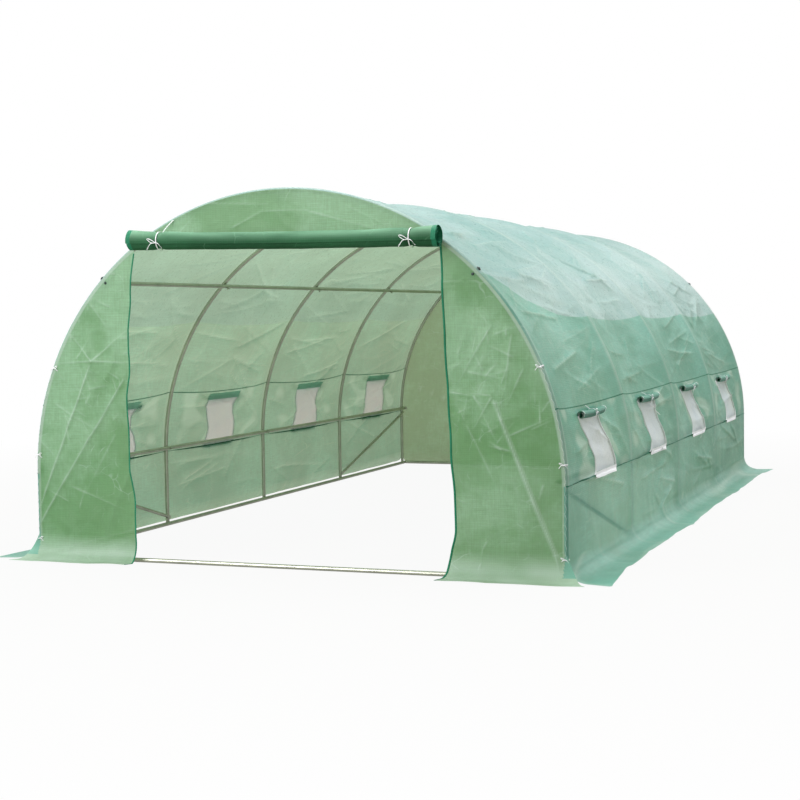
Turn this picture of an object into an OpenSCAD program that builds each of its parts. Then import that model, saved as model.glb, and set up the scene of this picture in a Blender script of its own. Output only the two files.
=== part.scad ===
// Walk-in tunnel greenhouse: a hooped steel tube frame under a sewn sheet cover, with a rolled-up door at the
// front and mesh windows with rolled-up flaps along both sides. Millimetres, +Z up, the front faces -Y, and the
// origin is on the ground at the middle of the tunnel.

/* [Tunnel] */
// Width of the frame over the hoop tubes
frame_w = 3150; // [2800:10:3600]
// Length of the frame over the end hoops
frame_l = 5918; // [5000:10:7200]
// Height of the straight hoop legs, where the arch springs
leg_h = 490; // [420:5:640]

/* [Frame tubes] */
// Outside diameter of the hoops, rails and purlins
tube_d = 25; // [20:0.5:32]
// Height of the side rails' centre line
rail_z = 515; // [440:5:600]
// Place of the side purlins on the arch, in degrees above the spring line
purlin_angle = 45; // [38:1:58]
// Outside diameter of the corner braces
brace_d = 22; // [16:0.5:28]
// Thickness of a brace's flattened ends
brace_tab_t = 5; // [3:0.5:8]
// Length of a brace's flattened ends
brace_tab_l = 55; // [40:1:80]

/* [Cover] */
// Thickness of the cover sheet
cover_t = 2; // [1:0.25:4]
// Reach of the ground skirt past the side walls
skirt_w = 200; // [120:5:300]
// Reach of the ground skirt past the end walls
end_skirt_w = 150; // [100:5:250]
// Radius of the bend where the cover turns out onto the ground
skirt_r = 40; // [20:1:70]
// Width of the window strip, measured round the arch from the spring line
window_strip_w = 400; // [370:5:480]
// Width of the eaves strip above the window strip, measured round the arch
eaves_strip_w = 510; // [400:5:650]

/* [Windows] */
// Width of a window opening along the tunnel
window_w = 445; // [300:5:600]
// Height of a window opening, measured round the arch
window_h = 356; // [280:2:360]
// Thickness of the mesh screens
screen_t = 1; // [0.5:0.1:2]
// Diameter of a rolled-up window flap
window_roll_d = 42; // [30:1:55]
// Length of a rolled-up window flap
window_roll_l = 480; // [320:5:640]
// Drop of a rolled-up flap below the seam above it, measured round the arch
window_roll_drop = 45; // [35:1:70]

/* [Door] */
// Width of the doorway between the zips
door_w = 1860; // [1500:10:2000]
// Height of the panel over the doorway, from the doorway's top edge to the crown
front_top_h = 295; // [240:5:420]
// Width of a zip tape
zip_w = 30; // [20:1:40]
// Diameter of the rolled-up door
door_roll_d = 112; // [80:1:140]
// Gap between each zip and the end of the rolled-up door
door_roll_inset = 25; // [0:1:60]
// Rise of the rolled-up door's middle above the doorway's top edge
door_roll_rise = 20; // [0:1:40]
// Distance of each door tie from the end of the rolled-up door
door_tie_inset = 160; // [100:5:400]
// Length of a door tie from the roll's middle up to where it is sewn on
door_tie_tail = 85; // [70:1:110]

/* [Ties] */
// Width of a tie tape
tie_w = 10; // [6:0.5:16]
// Thickness of a tie tape
tie_t = 1; // [0.5:0.1:2]

/* [Hidden] */
$fn = 96;

// Clearance between pieces that lie against each other
seat_gap = 0.3;
// How far a cut runs past what it cuts
overrun = 5;
// Number of bays between the hoops
bay_count = 4;
// Arch angles of the joints between the curved hoop tubes
hoop_joint_angles = [60, 120];
// Arch angle of the ridge
ridge_angle = 90;
// Width and depth of the line that shows where two tubes plug together
joint_w = 3;
joint_depth = 0.7;
// Distance of a tube joint from the hoop or the leg top beside it
joint_inset = 40;
// Clearance of a brace end from the rail above or below it
brace_clear = 6;
// Faces round a brace end, and round the outline of an end wall
brace_facets = 24;
outline_facets = 720;
// Number of strips in each half of the roof
roof_strips = 3;
// Layers in a rolled sheet: their thickness, spacing and number of turns
door_layer_t = 3;
door_layer_pitch = 7;
door_turns = 3.2;
window_layer_t = 2;
window_layer_pitch = 5;
window_turns = 2.2;
// Facets in one turn of a rolled sheet
turn_facets = 20;

// Centre lines of the hoops, and of the rails and purlins that lie against their inner side
hoop_r = (frame_w - tube_d) / 2;
inner_r = hoop_r - tube_d - seat_gap;
hoop_pitch = (frame_l - tube_d) / bay_count;
// Inner face and length of the cover, and outline of the end walls that fit inside its ends
cover_r = frame_w / 2 + seat_gap;
cover_l = frame_l + 2 * (seat_gap + cover_t);
end_r = cover_r - seat_gap;
end_y = frame_l / 2 + seat_gap;
// Height where the skirt's bend ends and the walls begin
wall_foot_z = skirt_r + cover_t;
// Arch angles of the cover's seams, and of the clearance between two strips
strip_gap = arc_angle(seat_gap);
window_seam = arc_angle(window_strip_w);
eaves_seam = arc_angle(window_strip_w + eaves_strip_w);
roof_step = (ridge_angle - strip_gap / 2 - eaves_seam) / roof_strips;
// Arch angles of a window's lower and upper edges
window_low = (window_seam - arc_angle(window_h)) / 2;
window_high = window_low + arc_angle(window_h);
// Distance of a roll's middle from the sheet that it hangs on, with its tie between them
window_roll_r = cover_r + cover_t + tie_t + 2 * seat_gap + window_roll_d / 2;
window_roll_angle = window_seam - arc_angle(window_roll_drop);
// Height of the doorway, and the rolled-up door's length, height and ties that follow from it
door_h = leg_h + end_r - front_top_h;
door_roll_l = door_w - 2 * door_roll_inset;
door_roll_z = door_h + door_roll_rise;
door_tie_x = door_roll_l / 2 - door_tie_inset;
door_face_y = end_y + cover_t;
door_roll_y = door_face_y + tie_t + 2 * seat_gap + door_roll_d / 2;
// Heights of the brace ends, clear of the rails above and below them
brace_top_z = rail_z - tube_d / 2 - brace_clear - brace_d;
brace_foot_z = tube_d + brace_clear + brace_d;
brace_x = hoop_r - tube_d / 2 - seat_gap - brace_tab_t / 2;

steel = [0.62, 0.64, 0.60];
sheet_green = [0.52, 0.72, 0.58];
dark_green = [0.16, 0.42, 0.30];
mesh_white = [0.90, 0.88, 0.88];
tie_white = [0.95, 0.96, 0.95];

function hoop_y(k) = (k - bay_count / 2) * hoop_pitch;
function bay_y(k) = hoop_y(k) + hoop_pitch / 2;
// Both ends of the panel before window k, or of the last panel when no window follows it
function panel_start(k) = k == 0 ? -cover_l / 2 : bay_y(k - 1) + window_w / 2;
function panel_end(k) = k == bay_count ? cover_l / 2 : bay_y(k) - window_w / 2;
function arc_angle(l) = l / (frame_w / 2 + seat_gap) * 180 / PI;

// The pieces that are alike on both sides are drawn on the right and mirrored
module left() {
    mirror([1, 0, 0]) children();
}

// Stands children on the arch's centre, turned so that their X runs out along the given arch angle
module on_arch(angle) {
    translate([0, 0, leg_h]) rotate([0, -angle, 0]) children();
}

module tube_along_x(l, d) {
    rotate([0, 90, 0]) cylinder(d = d, h = l, center = true);
}

module tube_along_y(l, d) {
    rotate([90, 0, 0]) cylinder(d = d, h = l, center = true);
}

// The shallow ring cut where one tube plugs into the next
module joint_ring(d) {
    difference() {
        cylinder(d = d + 2 * overrun, h = joint_w, center = true);
        cylinder(d = d - 2 * joint_depth, h = joint_w + 2 * overrun, center = true);
    }
}

// A tube along the tunnel in bay-long sections that plug together beside each inner hoop
module long_tube() {
    color(steel) difference() {
        tube_along_y(frame_l, tube_d);
        for (k = [1 : bay_count - 1])
            translate([0, hoop_y(k) + joint_inset, 0]) rotate([90, 0, 0]) joint_ring(tube_d);
    }
}

// One hoop: two straight legs plugged into an arch of three bent tubes
module hoop(k) {
    color(steel) translate([0, hoop_y(k), 0]) difference() {
        union() {
            for (side = [-1, 1]) translate([side * hoop_r, 0, 0]) cylinder(d = tube_d, h = leg_h);
            translate([0, 0, leg_h]) rotate([90, 0, 0])
                rotate_extrude(angle = 180) translate([hoop_r, 0]) circle(d = tube_d);
        }
        for (side = [-1, 1]) translate([side * hoop_r, 0, leg_h - joint_inset]) joint_ring(tube_d);
        for (angle = hoop_joint_angles) on_arch(angle) translate([hoop_r, 0, 0]) joint_ring(tube_d);
    }
}

// Rails on the ground and at the top of the legs, against the inner side of the hoops
module base_rail() {
    translate([inner_r, 0, tube_d / 2]) long_tube();
}

module side_rail() {
    translate([sqrt(pow(hoop_r, 2) - pow(rail_z - leg_h, 2)) - tube_d - seat_gap, 0, rail_z]) long_tube();
}

module purlin(angle) {
    on_arch(angle) translate([inner_r, 0, 0]) long_tube();
}

// The tube across an end of the tunnel, in two halves that plug together in the middle
module end_rail(end) {
    color(steel) translate([0, end * hoop_y(bay_count), tube_d / 2]) difference() {
        tube_along_x(2 * (inner_r - tube_d / 2 - seat_gap), tube_d);
        rotate([0, 90, 0]) joint_ring(tube_d);
    }
}

// A brace from the top of an end hoop's leg down to the foot of the next leg, with both ends pressed flat
module brace(end) {
    y_top = end * hoop_y(bay_count);
    y_foot = end * hoop_y(bay_count - 1);
    run = y_foot - y_top;
    drop = brace_foot_z - brace_top_z;
    length = sqrt(run * run + drop * drop);
    color(steel) translate([brace_x, y_top, brace_top_z]) rotate([-atan2(run, drop), 0, 0]) {
        translate([0, 0, brace_tab_l]) cylinder(d = brace_d, h = length - 2 * brace_tab_l);
        brace_end();
        translate([0, 0, length]) mirror([0, 0, 1]) brace_end();
    }
}

// The flat of a brace end, running up into the round tube
module brace_end() {
    hull() {
        translate([0, 0, brace_tab_l / 2])
            cube([brace_tab_t, brace_d, brace_tab_l / 2], center = true);
        translate([0, 0, brace_tab_l])
            cylinder(d = brace_d, h = joint_w, $fn = brace_facets);
    }
    translate([-brace_tab_t / 2, 0, 0]) rotate([0, 90, 0]) cylinder(d = brace_d, h = brace_tab_t);
    translate([0, 0, brace_tab_l / 4]) cube([brace_tab_t, brace_d, brace_tab_l / 2], center = true);
}

// A strip of the cover between two arch angles, on the right side
module arch_strip(low, high, thick, l) {
    on_arch(low) rotate([90, 0, 0]) rotate_extrude(angle = high - low)
        translate([cover_r, -l / 2]) square([thick, l]);
}

// Section of a skirt: the wall's foot bends out through a quarter turn and lies flat on the ground
module skirt_section(reach) {
    translate([wall_foot_z, wall_foot_z]) intersection() {
        difference() {
            circle(r = wall_foot_z);
            circle(r = skirt_r);
        }
        translate([-wall_foot_z, -wall_foot_z]) square(wall_foot_z);
    }
    translate([wall_foot_z, 0]) square([reach - wall_foot_z, cover_t]);
}

module side_skirt() {
    color(sheet_green) translate([cover_r, 0, 0]) rotate([90, 0, 0])
        linear_extrude(height = cover_l, center = true) skirt_section(skirt_w);
}

// A skirt across the front, from one distance off the middle to another
module end_skirt(x_from, x_to) {
    color(sheet_green) translate([(x_from + x_to) / 2, -end_y, 0]) rotate([90, 0, -90])
        linear_extrude(height = x_to - x_from, center = true) skirt_section(end_skirt_w);
}

module lower_wall() {
    color(sheet_green) translate([cover_r, -cover_l / 2, wall_foot_z + seat_gap])
        cube([cover_t, cover_l, leg_h - wall_foot_z - seat_gap]);
}

// The strip that holds a window in each bay: a hem below the windows, a hem above, and panels sewn between them
module window_strip() {
    color(sheet_green) {
        arch_strip(strip_gap, window_low, cover_t, cover_l);
        arch_strip(window_high, window_seam, cover_t, cover_l);
        for (k = [0 : bay_count]) translate([0, (panel_start(k) + panel_end(k)) / 2, 0])
            arch_strip(window_low + strip_gap, window_high - strip_gap, cover_t, panel_end(k) - panel_start(k));
    }
}

module window_screens() {
    color(mesh_white) for (k = [0 : bay_count - 1]) translate([0, bay_y(k), 0])
        arch_strip(window_low + strip_gap, window_high - strip_gap, screen_t, window_w - 2 * seat_gap);
}

module eaves_strip() {
    color(sheet_green) arch_strip(window_seam + strip_gap, eaves_seam, cover_t, cover_l);
}

// Half of the roof, in strips that are sewn edge to edge
module roof_cover() {
    color(sheet_green) for (i = [0 : roof_strips - 1])
        arch_strip(eaves_seam + i * roof_step + strip_gap, eaves_seam + (i + 1) * roof_step, cover_t, cover_l);
}

// Section of a sheet rolled up on itself, from its outer edge in to an open middle
module roll_section(d, layer_t, pitch, turns) {
    steps = ceil(turns * turn_facets);
    angles = [for (i = [0 : steps]) 360 * turns * i / steps];
    outer = [for (a = angles) (d / 2 - pitch * a / 360) * [cos(a), sin(a)]];
    inner = [for (a = angles) (d / 2 - layer_t - pitch * a / 360) * [cos(a), sin(a)]];
    polygon(concat(outer, [for (i = [steps : -1 : 0]) inner[i]]));
}

// A tape round a roll, with a tail that runs up the sheet behind the roll to its seam
module tie(roll_d, tail) {
    ring_r = roll_d / 2 + seat_gap;
    rotate([0, 90, 0]) difference() {
        cylinder(r = ring_r + tie_t, h = tie_w, center = true);
        cylinder(r = ring_r, h = tie_w + overrun, center = true);
    }
    translate([-tie_w / 2, ring_r, 0]) cube([tie_w, tie_t, tail]);
}

// The flaps of one side's windows, rolled up on the outside of the window strip
module window_rolls() {
    color(dark_green) for (k = [0 : bay_count - 1]) on_arch(window_roll_angle)
        translate([window_roll_r, bay_y(k), 0]) rotate([90, 0, 0])
            linear_extrude(height = window_roll_l, center = true)
                roll_section(window_roll_d, window_layer_t, window_layer_pitch, window_turns);
}

module side_window_ties() {
    color(tie_white) for (k = [0 : bay_count - 1]) on_arch(window_roll_angle)
        translate([window_roll_r, bay_y(k), 0]) rotate([0, 0, 90]) tie(window_roll_d, window_roll_drop);
}

// Outline of an end wall inside the cover: straight sides under a half circle
module end_outline() {
    translate([0, leg_h]) circle(r = end_r, $fn = outline_facets);
    translate([-end_r, 0]) square([2 * end_r, leg_h]);
}

// A flat sheet in the plane of the front wall, cut from the end outline by a window given as two corners
module front_sheet(low, high) {
    translate([0, -end_y, 0]) rotate([90, 0, 0]) linear_extrude(height = cover_t) intersection() {
        end_outline();
        translate(low) square(high - low);
    }
}

// The end panel to the right of the doorway, up to the height of its top edge
module front_panel() {
    color(sheet_green)
        front_sheet([door_w / 2 + zip_w + seat_gap, wall_foot_z + seat_gap], [end_r, door_h - seat_gap]);
}

module door_zip() {
    color(dark_green) front_sheet([door_w / 2, wall_foot_z + seat_gap], [door_w / 2 + zip_w, door_h - seat_gap]);
}

module front_top_panel() {
    color(sheet_green) front_sheet([-end_r, door_h], [end_r, leg_h + end_r]);
}

module rear_wall_cover() {
    color(sheet_green) mirror([0, 1, 0]) front_sheet([-end_r, wall_foot_z + seat_gap], [end_r, leg_h + end_r]);
}

module front_skirts() {
    end_skirt(door_w / 2, end_r);
    left() end_skirt(door_w / 2, end_r);
}

module rear_skirt() {
    mirror([0, 1, 0]) end_skirt(-end_r, end_r);
}

// The door, rolled up and hung across the top of the doorway by its ties
module door_roll() {
    color(dark_green) translate([0, -door_roll_y, door_roll_z]) rotate([90, 0, 90])
        linear_extrude(height = door_roll_l, center = true)
            roll_section(door_roll_d, door_layer_t, door_layer_pitch, door_turns);
}

module door_ties() {
    color(tie_white) for (side = [-1, 1])
        translate([side * door_tie_x, -door_roll_y, door_roll_z]) tie(door_roll_d, door_tie_tail);
}

hoop(0);  // front_hoop
hoop(1);  // second_hoop
hoop(2);  // middle_hoop
hoop(3);  // fourth_hoop
hoop(4);  // rear_hoop
left() base_rail();  // left_base_rail
base_rail();  // right_base_rail
end_rail(-1);  // front_base_rail
end_rail(1);  // rear_base_rail
left() side_rail();  // left_side_rail
side_rail();  // right_side_rail
left() purlin(purlin_angle);  // left_purlin
purlin(purlin_angle);  // right_purlin
purlin(ridge_angle);  // ridge_purlin
left() brace(-1);  // front_left_brace
brace(-1);  // front_right_brace
left() brace(1);  // rear_left_brace
brace(1);  // rear_right_brace
left() side_skirt();  // left_skirt
side_skirt();  // right_skirt
left() lower_wall();  // left_lower_wall
lower_wall();  // right_lower_wall
left() window_strip();  // left_window_strip
window_strip();  // right_window_strip
left() eaves_strip();  // left_eaves_strip
eaves_strip();  // right_eaves_strip
left() roof_cover();  // left_roof_cover
roof_cover();  // right_roof_cover
left() window_screens();  // left_window_screens
window_screens();  // right_window_screens
left() window_rolls();  // left_window_rolls
window_rolls();  // right_window_rolls
union() {  // window_ties
    side_window_ties();
    left() side_window_ties();
}
left() front_panel();  // front_left_panel
front_panel();  // front_right_panel
front_top_panel();
front_skirts();
left() door_zip();  // left_door_zip
door_zip();  // right_door_zip
door_roll();
door_ties();
rear_wall_cover();
rear_skirt();
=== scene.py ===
"""Walk-in tunnel greenhouse: a steel tube frame under a green woven sheet cover."""
import math
import random

import bmesh
import bpy
from mathutils import Matrix, Vector, noise


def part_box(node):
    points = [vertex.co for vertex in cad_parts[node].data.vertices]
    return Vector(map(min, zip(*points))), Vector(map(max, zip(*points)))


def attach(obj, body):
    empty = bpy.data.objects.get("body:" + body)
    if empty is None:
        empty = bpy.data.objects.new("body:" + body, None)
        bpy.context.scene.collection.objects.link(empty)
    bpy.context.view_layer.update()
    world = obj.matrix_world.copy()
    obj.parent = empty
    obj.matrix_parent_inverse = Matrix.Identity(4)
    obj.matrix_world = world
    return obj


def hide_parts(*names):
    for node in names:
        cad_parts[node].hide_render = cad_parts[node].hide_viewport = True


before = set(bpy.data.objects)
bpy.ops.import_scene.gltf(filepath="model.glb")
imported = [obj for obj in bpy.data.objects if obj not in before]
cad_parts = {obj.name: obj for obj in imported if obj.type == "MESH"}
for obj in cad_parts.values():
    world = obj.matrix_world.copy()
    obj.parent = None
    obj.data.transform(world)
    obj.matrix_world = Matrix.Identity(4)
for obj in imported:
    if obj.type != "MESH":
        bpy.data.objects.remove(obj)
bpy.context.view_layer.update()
scene = bpy.context.scene


# Frame: hoops, base and side rails, purlins and braces of thin-walled steel
# tube, bent, plugged and bolted together. The zinc coat has dulled to a patchy
# warm grey, with the faint flake pattern that hot dipping leaves.
def add_node(tree, kind, sockets=None, **settings):
    """Adds a shader node; sockets takes a value or an output for each input."""
    added = tree.nodes.new(kind)
    for name, value in settings.items():
        setattr(added, name, value)
    for name, value in (sockets or {}).items():
        if isinstance(value, bpy.types.NodeSocket):
            tree.links.new(value, added.inputs[name])
        else:
            added.inputs[name].default_value = value
    return added


def mixed(tree, factor, first, second):
    """The colour between first and second, each a colour or an output."""
    mix = add_node(tree, "ShaderNodeMix", data_type="RGBA")
    for place, value in ((0, factor), (6, first), (7, second)):
        if isinstance(value, bpy.types.NodeSocket):
            tree.links.new(value, mix.inputs[place])
        else:
            mix.inputs[place].default_value = value
    return mix.outputs[2]


def scaled(tree, value, low, high, start=0.0, end=1.0):
    """A value spread from the range start..end over the range low..high."""
    spread = add_node(tree, "ShaderNodeMapRange", {
        "Value": value, "From Min": start, "From Max": end,
        "To Min": low, "To Max": high})
    return spread.outputs["Result"]


def start_material(name):
    """A new material with its tree, its Principled shader and its output."""
    material = bpy.data.materials.new(name)
    material.use_nodes = True
    tree = material.node_tree
    return (material, tree, tree.nodes["Principled BSDF"],
            tree.nodes["Material Output"])


def blotch_group():
    """Soft blotches and fine mottle on a piece's own coordinates."""
    group = bpy.data.node_groups.new("blotches", "ShaderNodeTree")
    size = group.interface.new_socket(
        "Size", in_out="INPUT", socket_type="NodeSocketFloat")
    size.default_value = 3.0
    for name in ("Blotch", "Mottle"):
        group.interface.new_socket(
            name, in_out="OUTPUT", socket_type="NodeSocketFloat")
    taken = group.nodes.new("NodeGroupInput")
    given = group.nodes.new("NodeGroupOutput")
    place = add_node(group, "ShaderNodeTexCoord").outputs["Object"]
    blotch = add_node(group, "ShaderNodeTexNoise", {
        "Vector": place, "Scale": taken.outputs["Size"],
        "Detail": 6.0, "Roughness": 0.60})
    mottle = add_node(group, "ShaderNodeTexNoise", {
        "Vector": place, "Scale": 48.0, "Detail": 4.0, "Roughness": 0.6})
    group.links.new(
        scaled(group, blotch.outputs["Fac"], 0.0, 1.0, 0.30, 0.70),
        given.inputs["Blotch"])
    group.links.new(
        scaled(group, mottle.outputs["Fac"], 0.0, 1.0, 0.32, 0.68),
        given.inputs["Mottle"])
    return group


def raise_surface(tree, skin, height, strength, distance):
    """Lets a height stand out of a shader's surface."""
    bump = add_node(tree, "ShaderNodeBump", {
        "Height": height, "Strength": strength, "Distance": distance})
    tree.links.new(bump.outputs["Normal"], skin.inputs["Normal"])


blotches = blotch_group()
zinc, tree, skin, _ = start_material("dull_zinc")
patchy = add_node(tree, "ShaderNodeGroup", {"Size": 7.0}, node_tree=blotches)
flakes = add_node(tree, "ShaderNodeTexVoronoi", {
    "Vector": add_node(tree, "ShaderNodeTexCoord").outputs["Object"],
    "Scale": 95.0})
flake = add_node(tree, "ShaderNodeSeparateColor",
                 {"Color": flakes.outputs["Color"]}).outputs["Red"]
grey = mixed(tree, patchy.outputs["Blotch"],
             (0.38, 0.39, 0.32, 1), (0.52, 0.53, 0.44, 1))
grey = mixed(tree, scaled(tree, flake, 0.0, 0.06), grey,
             (0.92, 0.92, 0.88, 1))
tree.links.new(grey, skin.inputs["Base Color"])
tree.links.new(scaled(tree, patchy.outputs["Mottle"], 0.31, 0.38),
               skin.inputs["Roughness"])
skin.inputs["Metallic"].default_value = 0.85
raise_surface(tree, skin, patchy.outputs["Mottle"], 0.015, 0.0004)

hoop_names = ("front_hoop", "second_hoop", "middle_hoop", "fourth_hoop",
              "rear_hoop")
for name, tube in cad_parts.items():
    if name.endswith(("_hoop", "_rail", "_purlin", "_brace")):
        tube.material_slots[0].material = zinc
hoop_low, hoop_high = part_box("front_hoop")
hoop_ys = [sum(corner.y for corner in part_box(name)) / 2 for name in hoop_names]
tube_r = (hoop_high.y - hoop_low.y) / 2
spring_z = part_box("right_lower_wall")[1].z
hoop_r = hoop_high.x - tube_r


# Clamp bolts: each rail and purlin is held to each hoop by one zinc bolt, with
# a washer and a wing nut inside. At the end hoops dark rubber caps on washers
# stand on the cover, and smaller ones close the side purlins' ends.
def add_piece(name, bm, slot, *materials):
    """Makes a bmesh an object of the root body, shaded smooth."""
    mesh = bpy.data.meshes.new(name)
    bm.to_mesh(mesh)
    bm.free()
    for material in materials:
        mesh.materials.append(material)
    for face in mesh.polygons:
        face.use_smooth = True
    piece = bpy.data.objects.new(name, mesh)
    scene.collection.objects.link(piece)
    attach(piece, "root")
    return piece


def turned(bm, matrix, rings, sides=14):
    """A small turned part: rings are (radius, height) from foot to top."""
    made = []
    for (low_r, low_z), (top_r, top_z) in zip(rings, rings[1:]):
        ring = bmesh.ops.create_cone(
            bm, segments=sides, radius1=low_r, radius2=top_r,
            depth=max(top_z - low_z, 1e-5), cap_ends=False,
            matrix=matrix @ Matrix.Translation((0, 0, (low_z + top_z) / 2)))
        made += ring["verts"]
    bmesh.ops.remove_doubles(bm, verts=made, dist=1e-5)


def outward(angle, y, radius):
    """A frame whose Z points away from the arch's middle, on the arch."""
    place = Matrix.Translation((0, y, spring_z))
    lean = Matrix.Rotation(math.pi / 2 - angle, 4, "Y")
    return place @ lean @ Matrix.Translation((0, 0, radius))


rail_low, rail_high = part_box("right_side_rail")
rail_r = (rail_low.x + rail_high.x) / 2
rail_angle = math.asin(((rail_low.z + rail_high.z) / 2 - spring_z) / rail_r)
crossing_angles = [rail_angle, math.pi / 4, math.pi / 2, math.pi * 3 / 4,
                   math.pi - rail_angle]
bm = bmesh.new()
for y in hoop_ys:
    for angle in crossing_angles:
        inside = outward(angle, y, rail_r - tube_r) @ Matrix.Rotation(
            math.pi, 4, "X")
        turned(bm, inside, ((0.0001, 0.0017), (0.0085, 0.0017),
                            (0.0095, 0.0012), (0.0095, -0.0008)))
        turned(bm, inside, ((0.0068, 0.0015), (0.0066, 0.0055),
                            (0.0045, 0.0095), (0.0030, 0.0097)))
        turned(bm, inside, ((0.0030, 0.0090), (0.0030, 0.0140),
                            (0.0022, 0.0148), (0.0001, 0.0148)), 8)
        for side in (-1, 1):
            wing = bmesh.ops.create_cube(bm, size=1.0)["verts"]
            bmesh.ops.scale(bm, vec=(0.0105, 0.0020, 0.0095), verts=wing)
            edges = {edge for vert in wing for edge in vert.link_edges}
            bmesh.ops.bevel(bm, geom=list(edges), offset=0.0008, segments=2,
                            profile=0.5, affect="EDGES", material=-1)
            wing = [v for v in bm.verts if v.co.length < 0.02]
            bmesh.ops.transform(
                bm, verts=wing, matrix=inside
                @ Matrix.Rotation(0.5 + y, 4, "Z")
                @ Matrix.Translation((side * 0.0095, 0, 0.0085))
                @ Matrix.Rotation(-side * 0.5, 4, "Y"))
bmesh.ops.recalc_face_normals(bm, faces=bm.faces[:])
add_piece("wing_nuts", bm, "galvanised_tube", zinc)

rubber, tree, skin, _ = start_material("dark_rubber")
patchy = add_node(tree, "ShaderNodeGroup", {"Size": 30.0}, node_tree=blotches)
tree.links.new(mixed(tree, patchy.outputs["Mottle"], (0.012, 0.030, 0.024, 1),
                     (0.030, 0.055, 0.045, 1)), skin.inputs["Base Color"])
tree.links.new(scaled(tree, patchy.outputs["Blotch"], 0.45, 0.65),
               skin.inputs["Roughness"])
cover_r = sum(corner.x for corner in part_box("right_lower_wall")) / 2
wrap_r = cover_r - hoop_r
bm = bmesh.new()
for y in (hoop_ys[0], hoop_ys[-1]):
    for angle in (crossing_angles[1], crossing_angles[3]):
        head = outward(angle, y, cover_r)
        turned(bm, head, ((0.0130, -0.0020), (0.0130, 0.0018),
                          (0.0115, 0.0032), (0.0080, 0.0034)))
        turned(bm, head, ((0.0080, 0.0030), (0.0078, 0.0052),
                          (0.0050, 0.0074), (0.0001, 0.0080)))
for angle in (crossing_angles[1], crossing_angles[3]):
    for y, way in ((hoop_ys[0], -1), (hoop_ys[-1], 1)):
        place = outward(angle, y, rail_r).translation
        head = Matrix.Translation((place.x, y + way * (wrap_r + 0.001),
                                   place.z)) @ Matrix.Rotation(
            -way * math.pi / 2, 4, "X")
        turned(bm, head, ((0.0085, -0.002), (0.0085, 0.0012),
                          (0.0078, 0.0020), (0.0055, 0.0020)))
        turned(bm, head, ((0.0055, 0.0018), (0.0053, 0.0058),
                          (0.0030, 0.0070), (0.0001, 0.0072)), 6)
add_piece("bolt_heads", bm, "galvanised_tube", rubber)


# Lower walls: the foot of the cover on each long side, a strip of woven green
# sheet that hangs from the seam at the side rail, bends out on the ground and
# lies there as a loose skirt to be weighed down or dug in.
def maths(tree, operation, *values, clamp=False):
    """The output of a Math node on values, each a number or an output."""
    return add_node(tree, "ShaderNodeMath", dict(enumerate(values)),
                    operation=operation, use_clamp=clamp).outputs[0]


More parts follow.
